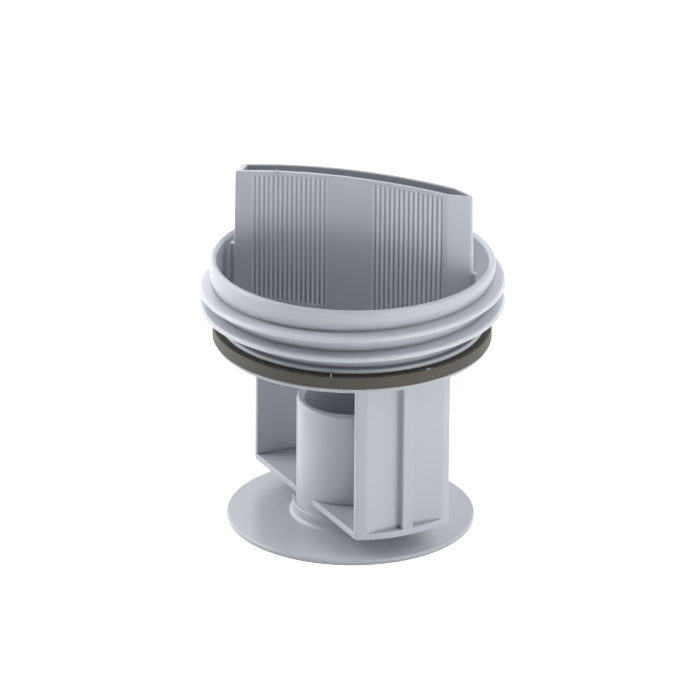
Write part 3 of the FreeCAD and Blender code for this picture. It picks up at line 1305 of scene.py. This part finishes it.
@dataclass(frozen=True)
class Grip:
    """The hollow finger grip: square at one end, a wedge with a round nose at the other, arched on top."""

    top: float
    floor_top: float
    step_top: float
    rim_top: float
    angle: float = 45.0
    top_drop: float = 1.75
    square_end: float = 24.8
    nose_end: float = 25.5
    taper_start: float = 21.2
    mid_half: float = 2.54
    end_half: float = 2.31
    nose_round: float = 0.85
    nose_parts: int = 12
    corner_round: float = 0.45
    least_corner_round: float = 0.1
    corner_parts: int = 6
    end_draft: float = 0.9
    wall: float = 0.9
    square_wall: float = 1.5
    nose_wall: float = 1.25
    pocket_nose_round: float = 0.3
    pocket_corner_round: float = 0.2
    top_round: float = 0.22
    rib_thick: float = 1.4
    rib_corner_round: float = 0.25
    rib_rim_round: float = 0.2
    rib_sunk: float = 0.4
    rib_overlap: float = 0.7
    rib_gap_half: float = 4.0
    square_rib_proud: float = 1.0
    nose_rib_proud: float = 0.35
    groove_counts: tuple[int, int] = (16, 15)
    band_centres: tuple[float, float] = (12.86, 12.54)
    groove_pitch: float = 1.005
    groove_width: float = 0.84
    groove_depth: float = 0.23
    groove_bend: float = 1.2
    plain_half: float = 2.5
    band_top_margin: float = 0.85
    band_bottom: float = 47.2
    groove_end: float = 0.15
    sunk: float = 0.5

    def half_thickness(self, x: float) -> float:
        """Half the grip's thickness, whose faces are slightly bowed.

        Args:
            x: Place along the grip.

        Returns:
            The half thickness there.
        """
        bow = self.mid_half - self.end_half
        radius = (self.square_end ** 2 + bow ** 2) / (2 * bow)
        return self.mid_half - radius + math.sqrt(radius ** 2 - x ** 2)

    def arch(self, x: float) -> float:
        """Height of the arched top.

        Args:
            x: Place along the grip.

        Returns:
            The top's height there.
        """
        radius = (self.square_end ** 2 + self.top_drop ** 2) / (2 * self.top_drop)
        return self.top - radius + math.sqrt(radius ** 2 - x ** 2)

    def _face_places(self) -> list[float]:
        """Where a face gets its points: each groove has five, so that it bends there and nowhere else.

        Returns:
            Places along the grip, from its square end to its taper.
        """
        places = [-self.square_end + self.corner_round]
        for side, count, centre in zip((-1, 1), self.groove_counts, self.band_centres):
            for i in range(count):
                middle = side * centre + (i - (count - 1) / 2) * self.groove_pitch
                places += [middle + share * self.groove_width for share in (-0.5, -0.25, 0.0, 0.25, 0.5)]
        places += [-self.plain_half, 0.0, self.plain_half, self.taper_start]
        return sorted(places)

    def _loop(
        self, square_x: float, nose_x: float, nose_round: float, corner_round: float, inset: float,
    ) -> list[Vector]:
        """The grip's outline, anticlockwise, always with as many points.

        Args:
            square_x: Where the square end lies on -X.
            nose_x: Where the nose lies on +X.
            nose_round: Radius of the nose.
            corner_round: Radius of the square end's corners.
            inset: How far the faces lie inside the grip's outside.

        Returns:
            The outline's points.
        """
        shoulder = self.half_thickness(self.taper_start) - inset
        nose_centre = nose_x - nose_round
        reach = math.hypot(self.taper_start - nose_centre, shoulder)
        turn = math.atan2(shoulder, self.taper_start - nose_centre) - math.acos(nose_round / reach)
        places = self._face_places()
        first, last = places[0], places[-1]
        inner_first = -square_x + corner_round
        face = []
        for x in places:
            if x < 0:
                x = inner_first + (x - first) * (last - inner_first) / (last - first)
            face.append(Vector((x, self.half_thickness(x) - inset)))
        nose = []
        for k in range(self.nose_parts + 1):
            a = turn - 2 * turn * k / self.nose_parts
            nose.append(Vector((nose_centre + nose_round * math.cos(a), nose_round * math.sin(a))))
        side = self.half_thickness(square_x) - inset
        corner = []
        for a in quarter_turn(self.corner_parts)[1:]:
            x = -square_x + corner_round * (1 - math.sin(a))
            corner.append(Vector((x, side - corner_round * (1 - math.cos(a)))))
        upper = corner[::-1] + face
        lower = [Vector((p.x, -p.y)) for p in reversed(upper)]
        return (upper + nose + lower)[::-1]

    def _draft(self, height: float) -> float:
        """How much farther out the drafted ends lie at a height than at the top."""
        return math.tan(math.radians(self.end_draft)) * (self.top - height)

    def _lifted(self, loop: Sequence[Vector], height: float | None, drop: float) -> list[Vector]:
        """Lifts an outline into place.

        Args:
            loop: The flat outline.
            height: Its level, or none where it follows the arched top.
            drop: How far it then lies below the top.

        Returns:
            The outline's points in space.
        """
        points = []
        for p in loop:
            z = self.arch(min(abs(p.x), self.nose_end)) - drop if height is None else height
            points.append(Vector((p.x, p.y, z)))
        return points

    def _outer(self, height: float | None, drop: float = 0.0, inset: float = 0.0) -> list[Vector]:
        """The outside, with its ends drafted.

        Args:
            height: Its level, or none where it follows the arched top.
            drop: How far it then lies below the top.
            inset: How far it lies inside the full outside.

        Returns:
            The outline's points.
        """
        spread = self._draft(self.top if height is None else height)
        square_x = self.square_end + spread - inset
        nose_x = self.nose_end + spread - inset
        corner_round = max(self.least_corner_round, self.corner_round - inset)
        loop = self._loop(square_x, nose_x, self.nose_round - inset * 0.5, corner_round, inset)
        return self._lifted(loop, height, drop)

    def _inner(self, height: float | None, drop: float = 0.0, outset: float = 0.0) -> list[Vector]:
        """The pocket's wall.

        Args:
            height: Its level, or none where it follows the arched top.
            drop: How far it then lies below the top.
            outset: How far it lies outside the pocket.

        Returns:
            The outline's points.
        """
        loop = self._loop(
            self.square_end - self.square_wall + outset, self.nose_end - self.nose_wall + outset,
            self.pocket_nose_round + outset * 0.5, self.pocket_corner_round + outset, self.wall - outset)
        return self._lifted(loop, height, drop)

    def blade(self, material: bpy.types.Material) -> bpy.types.Object:
        """The grip with its pocket and grooves, sunk a little into the cup's floor.

        Args:
            material: What it wears.

        Returns:
            The grip as a closed solid.
        """
        low = self.floor_top - self.sunk
        bevel = []
        for a in quarter_turn(RIM_PARTS):
            bevel.append((self.top_round * (1 - math.cos(a)), self.top_round * (1 - math.sin(a))))
        loops = [self._outer(low), self._outer(self.band_bottom)]
        grooved = (len(loops), len(loops) + 1)
        loops.append(self._outer(self.band_bottom + self.groove_end))
        loops.append(self._outer(None, self.band_top_margin + self.groove_end))
        loops.append(self._outer(None, self.band_top_margin))
        loops += [self._outer(None, drop, inset) for inset, drop in bevel]
        loops += [self._inner(None, drop, inset) for inset, drop in reversed(bevel)]
        loops.append(self._inner(self.floor_top - self.sunk / 2))
        made = stacked("grip_blade", loops)
        count = len(loops[0])
        room = made.data.attributes.new("groove_room", "FLOAT", "POINT")
        for i in range(len(made.data.vertices)):
            room.data[i].value = 1.0 if i // count in grooved else 0.0
        self._sink_grooves(made, material)
        rotate(made, self.angle)
        return made

    def _sink_grooves(self, blade: bpy.types.Object, material: bpy.types.Material) -> None:
        """Sinks the fine grooves into the grip's faces with Geometry Nodes.

        Args:
            blade: The grip along X, with a "groove_room" attribute where grooves may be.
            material: What it wears.
        """
        recipe = Recipe("grip_grooves")
        nodes = recipe.nodes
        pitch = recipe.ask("Pitch", self.groove_pitch)
        width = recipe.ask("Width", self.groove_width)
        depth = recipe.ask("Depth", self.groove_depth)
        left_last, right_last = (float(count - 1) for count in self.groove_counts)
        last = recipe.ask("Left Last Groove", left_last)
        more = recipe.ask("Right Has More", right_last - left_last)
        centre = recipe.ask("Left Band Centre", self.band_centres[0])
        farther = recipe.ask("Right Lies Farther", self.band_centres[1] - self.band_centres[0])
        x, y, _ = nodes.parts(recipe.place())
        on_right = x > 0.0
        last = last + more * on_right
        centre = centre + farther * on_right
        away = off_nearest_groove(x, centre, pitch, last) * pitch / (width * 0.5)
        room = Value(nodes, recipe.attribute("groove_room", "FLOAT"))
        hollow = (1 - away ** self.groove_bend).clipped() * depth * room
        shift = nodes.vector(y=y.maths("SIGN") * hollow * -1.0)
        recipe.end(recipe.moved(recipe.given, shift), material)
        recipe.run(blade)

    def end_ribs(self) -> bpy.types.Object:
        """The rib that stands proud of each end of the grip inside the cup.

        Returns:
            Both ribs, as what is left of one bar through both ends.
        """
        half = self.rib_thick / 2
        spread = self._draft(self.floor_top)
        start = -self.square_end - spread - self.square_rib_proud
        end = self.nose_end + spread + self.nose_rib_proud
        bar = rectangle(start, end, half, self.rib_corner_round)
        made = prism("end_ribs", bar, self.step_top - self.rib_sunk, self.rim_top, self.rib_rim_round)
        inner = self.square_end - self.rib_overlap
        gap = rectangle(-inner, inner, self.rib_gap_half)
        combine(made, prism("rib_gap", gap, self.step_top - REACH, self.rim_top + REACH), Join.CUT)
        rotate(made, self.angle)
        return made


@dataclass(frozen=True)
class SealRing:
    """The rubber ring in the groove, very slightly uneven as soft rubber is."""

    radius: float
    seat_r: float
    low: float
    high: float
    edge_round: float = 0.35
    seat_round: float = 0.2
    longest_run: float = 0.6
    unevenness: float = 0.03
    waver_scale: float = 0.22

    def build(self, material: bpy.types.Material) -> bpy.types.Object:
        """Turns the ring and lets its outside waver a little with Geometry Nodes.

        Args:
            material: What it wears.

        Returns:
            The ring.
        """
        profile = outline([
            Corner(self.seat_r, self.low, self.seat_round),
            Corner(self.radius, self.low, self.edge_round),
            Corner(self.radius, self.high, self.edge_round),
            Corner(self.seat_r, self.high, self.seat_round),
        ])
        made = lathe("seal_band", split_runs(profile, self.longest_run))
        recipe = Recipe("seal_unevenness")
        nodes = recipe.nodes
        depth = recipe.ask("Depth", self.unevenness)
        seat = recipe.ask("Seat Radius", self.seat_r + self.seat_round)
        place = recipe.place()
        flat = nodes.flat(place)
        outwards = nodes.vector_maths("NORMALIZE", {0: flat})
        waver = (nodes.noise(place, self.waver_scale, 1.0) - 1.0) * depth * (nodes.length(flat) > seat)
        offset = nodes.vector_maths("SCALE", {0: outwards, "Scale": waver})
        recipe.end(recipe.moved(recipe.given, offset), material)
        recipe.run(made)
        smooth(made)
        to_metres(made)
        return made


@dataclass(frozen=True)
class Burr:
    """One scrap of flash: its place round the axis, its size and how it lies."""

    azimuth: float
    radius: float
    height: float
    along: float
    out: float
    up: float
    tilt: float = 0.0

    @property
    def place(self) -> Vector:
        """Its middle in millimetres."""
        a = math.radians(self.azimuth)
        return Vector((self.radius * math.cos(a), self.radius * math.sin(a), self.height))

    @property
    def size(self) -> Vector:
        """Its length out from the axis, along the rim and upwards."""
        return Vector((self.out, self.along, self.up))

    @property
    def turn(self) -> Vector:
        """Its rotation: tilted outwards, then turned to its azimuth."""
        return Vector((0.0, math.radians(self.tilt), math.radians(self.azimuth)))


@dataclass(frozen=True)
class FlashMarks:
    """The few scraps of flash that the moulding tool left on the edges."""

    burrs: tuple[Burr, ...] = (
        Burr(azimuth=-126.5, radius=16.0, height=75.5, along=0.75, out=0.4, up=1.25),
        Burr(azimuth=-36.0, radius=28.1, height=43.55, along=0.32, out=1.9, up=0.16, tilt=28.0),
        Burr(azimuth=5.5, radius=28.55, height=43.2, along=1.3, out=0.3, up=0.22),
        Burr(azimuth=-5.1, radius=30.2, height=52.95, along=1.1, out=0.2, up=0.16),
        Burr(azimuth=-41.8, radius=29.4, height=48.62, along=0.9, out=0.18, up=0.16),
    )
    roughness: float = 0.22
    roughness_scale: float = 2.6
    seed: float = 3.7
    subdivisions: int = 3

    def build(self, material: bpy.types.Material) -> bpy.types.Object:
        """Sets one ragged scrap on each place with Geometry Nodes.

        Args:
            material: What the scraps wear.

        Returns:
            All scraps as one piece, in metres.
        """
        mesh = bpy.data.meshes.new("flash_marks")
        mesh.from_pydata([burr.place for burr in self.burrs], [], [])
        for name in ("size", "turn"):
            slot = mesh.attributes.new(f"burr_{name}", "FLOAT_VECTOR", "POINT")
            for i, burr in enumerate(self.burrs):
                slot.data[i].vector = getattr(burr, name)
        made = new_object("flash_marks", mesh)
        recipe = Recipe("ragged_scraps")
        nodes = recipe.nodes
        rough = recipe.ask("Raggedness", self.roughness)
        seed = recipe.ask("Seed", self.seed)
        sphere = {"Radius": 0.5, "Subdivisions": self.subdivisions}
        scrap = nodes.out("GeometryNodeMeshIcoSphere", {}, sphere)
        settings = {"noise_dimensions": "4D"}
        sockets = {"Vector": recipe.place(), "W": seed, "Scale": self.roughness_scale}
        noise = nodes.out("ShaderNodeTexNoise", settings, sockets, "Color")
        centred = nodes.vector_maths("SUBTRACT", {0: noise, 1: (0.5, 0.5, 0.5)})
        ragged = recipe.moved(scrap, nodes.vector_maths("SCALE", {0: centred, "Scale": rough * 2.0}))
        set_out = nodes.out("GeometryNodeInstanceOnPoints", {}, {
            "Points": nodes.out("GeometryNodeMeshToPoints", {}, {"Mesh": recipe.given}),
            "Instance": ragged,
            "Rotation": recipe.attribute("burr_turn", "FLOAT_VECTOR"),
            "Scale": recipe.attribute("burr_size", "FLOAT_VECTOR"),
        })
        recipe.end(set_out, material)
        recipe.run(made)
        smooth(made)
        to_metres(made)
        return made


class Moulding:
    """The one-piece grey moulding, joined from its sub-assemblies."""

    def __init__(self, sizes: FilterSizes, material: bpy.types.Material) -> None:
        """Works out the sub-assemblies' sizes.

        Args:
            sizes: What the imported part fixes.
            material: The moulding's plastic.
        """
        self.sizes = sizes
        self.material = material
        self.foot = FootAndTube(bore_r=sizes.bore_r)
        self.frame = OpenFrame()
        self.cup = Cup()
        self.thread = Thread(crest_r=sizes.crest_r, collar_r=self.cup.collar_r, low=self.cup.collar_low)
        self.grip = Grip(
            top=sizes.grip_top, floor_top=self.cup.floor_top, step_top=self.cup.step_top,
            rim_top=self.cup.rim_top)

    def build(self) -> bpy.types.Object:
        """Joins every form of the moulding into one closed solid.

        Returns:
            The moulding, in metres.
        """
        body = self.cup.build(self.sizes.seal_high)
        body.name = "filter_moulding"
        combine(body, self.thread.hollow(self.material), Join.CUT)
        combine(body, self.thread.ridge(self.material), Join.UNION)
        combine(body, self.grip.blade(self.material), Join.UNION)
        combine(body, self.grip.end_ribs(), Join.UNION)
        wall_top = self.cup.flange_low + self.cup.flange_thick / 2
        for turn in (0, 180):
            wall = self.frame.wall(wall_top)
            rotate(wall, turn)
            combine(body, wall, Join.UNION)
        foot = self.foot.build()
        combine(foot, self.frame.strip(self.foot.bore_r + self.foot.tube_wall / 2), Join.UNION)
        combine(body, foot, Join.UNION)
        body.data.materials.clear()
        body.data.materials.append(self.material)
        for polygon in body.data.polygons:
            polygon.material_index = 0
        smooth(body)
        to_metres(body)
        return body


@dataclass(frozen=True)
class Softbox:
    """One area lamp, placed round the camera's line of sight and aimed at the filter or straight down."""

    name: str
    azimuth: float
    elevation: float
    distance: float
    width: float
    height: float
    power: float
    facing_down: bool = False
    spread: float = 180.0

    def hang(self, target: Vector, camera_azimuth: float) -> None:
        """Hangs the lamp.

        Args:
            target: What it is aimed at.
            camera_azimuth: Where the camera stands, from which the lamp's own azimuth counts.
        """
        lamp = bpy.data.lights.new(self.name, "AREA")
        lamp.shape = "RECTANGLE"
        lamp.size = self.width
        lamp.size_y = self.height
        lamp.energy = self.power
        lamp.spread = math.radians(self.spread)
        made = new_object(self.name, lamp)
        azimuth = self.azimuth + camera_azimuth
        away = direction(azimuth, self.elevation)
        made.location = target + away * self.distance
        if self.facing_down:
            made.rotation_euler = (0.0, 0.0, math.radians(azimuth + 90))
        else:
            made.rotation_euler = (-away).to_track_quat("-Z", "Y").to_euler()


class Studio:
    """White floor, soft lamps and the camera at the photograph's angle."""

    target: Vector = Vector((0.0, 0.0, 0.040))
    camera_azimuth: float = -27.5
    camera_elevation: float = 22.96
    focal_pixels: float = 6800.0
    frame_pixels: float = 700.0
    pixels_per_metre: float = 4850.0
    target_pixel: tuple[float, float] = (351.9, 337.0)
    roll: float = 0.49
    sensor: float = 36.0
    clip_start: float = 0.05
    clip_end: float = 20.0
    floor_size: float = 3.0
    floor_cells: int = 8

    # Name, azimuth, elevation, distance, width and height in degrees and metres, power in watts
    lamps: tuple[Softbox, ...] = (
        Softbox("top_softbox", 0, 89, 0.7, 0.6, 0.6, 0.8),
        Softbox("left_low_softbox", -95, 8, 0.6, 0.5, 0.3, 1.5),
        Softbox("left_side_softbox", -108, 30, 0.7, 0.4, 0.35, 1.8),
        Softbox("left_side_high_softbox", -105, 50, 0.7, 0.4, 0.4, 1.0),
        Softbox("right_low_softbox", 95, 8, 0.6, 0.5, 0.3, 0.6),
        Softbox("right_front_softbox", 55, 25, 0.7, 0.4, 0.4, 0.95),
        Softbox("right_high_softbox", 60, 55, 0.7, 0.4, 0.4, 1.5),
        Softbox("right_low_strip", 50, 3, 0.35, 0.35, 0.1, 0.27),
        Softbox("back_wide_softbox", 180, 15, 1.0, 2.2, 0.7, 2.6),
        Softbox("back_left_softbox", -140, 20, 0.7, 0.4, 0.4, 0.9),
        Softbox("back_right_softbox", 140, 20, 0.7, 0.4, 0.4, 0.8),
        Softbox("back_small_softbox", 190, 22, 0.8, 0.25, 0.25, 0.3),
        Softbox("floor_wash", 0, 37.9, 0.342, 0.5, 0.25, 0.5, facing_down=True, spread=50.0),
    )

    def build(self) -> None:
        """Sets up the floor, the lamps, the world and the camera."""
        self._floor()
        self._world()
        for lamp in self.lamps:
            lamp.hang(self.target, self.camera_azimuth)
        self._camera()
        bpy.context.scene.view_settings.view_transform = "Standard"

    def _floor(self) -> None:
        """Lays the floor under the foot disc."""
        work = bmesh.new()
        cells = self.floor_cells
        bmesh.ops.create_grid(work, x_segments=cells, y_segments=cells, size=self.floor_size)
        floor = from_bmesh("pale_floor", work)
        floor.data.materials.append(PaleStage().make())

    def _world(self) -> None:
        """A world that shows white to the camera and in reflections; the lamps do the lighting."""
        world = bpy.data.worlds.new("studio_world")
        bpy.context.scene.world = world
        world.use_nodes = True
        nodes = Nodes(world.node_tree)
        nodes.tree.nodes.clear()
        back = nodes.out("ShaderNodeBackground", {}, {"Color": (1, 1, 1, 1), "Strength": nodes.seen_rays()})
        nodes.add("ShaderNodeOutputWorld", {}, {"Surface": back})

    def _camera(self) -> None:
        """Places the camera on the photograph's line of sight with its long lens."""
        away = direction(self.camera_azimuth, self.camera_elevation)
        lens = bpy.data.cameras.new("camera")
        lens.sensor_width = self.sensor
        lens.lens = self.sensor * self.focal_pixels / self.frame_pixels
        lens.clip_start = self.clip_start
        lens.clip_end = self.clip_end
        camera = new_object("camera", lens)
        turn = (-away).to_track_quat("-Z", "Y")
        right = turn @ Vector((1, 0, 0))
        up = turn @ Vector((0, 1, 0))
        middle = self.frame_pixels / 2
        aim = self.target - right * ((self.target_pixel[0] - middle) / self.pixels_per_metre)
        aim = aim + up * ((self.target_pixel[1] - middle) / self.pixels_per_metre)
        camera.location = aim + away * (self.focal_pixels / self.pixels_per_metre)
        tilt = Matrix.Rotation(math.radians(self.roll), 4, away)
        camera.rotation_euler = (tilt @ turn.to_matrix().to_4x4()).to_euler()
        bpy.context.scene.camera = camera


def mount(made: bpy.types.Object, slot: str, node: str | None = None) -> None:
    """Gives a finished piece its body, hides the CAD node that it stands for and logs its size.

    Args:
        made: The piece.
        slot: The record's material slot; not used.
        node: The CAD node that it replaces, if it replaces one.
    """
    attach(made, "root")
    if node:
        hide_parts(node)
    size = made.dimensions / MM
    LOG.info("%s: %d faces, %.2f x %.2f x %.2f mm", made.name, len(made.data.polygons), *size)


def main() -> None:
    """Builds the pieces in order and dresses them."""
    logging.basicConfig(level=logging.INFO, format="%(name)s: %(message)s")
    sizes = FilterSizes.from_frame(frame["record"])
    LOG.info("%s", sizes)
    studio = Studio()
    studio.build()
    plastic = Plastic().make()
    mount(Moulding(sizes, plastic).build(), "grey_plastic", "filter_body")
    mount(FlashMarks().build(plastic), "grey_plastic")
    ring = SealRing(radius=sizes.seal_r, seat_r=sizes.seal_seat_r, low=sizes.seal_low, high=sizes.seal_high)
    mount(ring.build(Rubber().make()), "seal_rubber", "seal_ring")


if __name__ == "__main__":
    main()
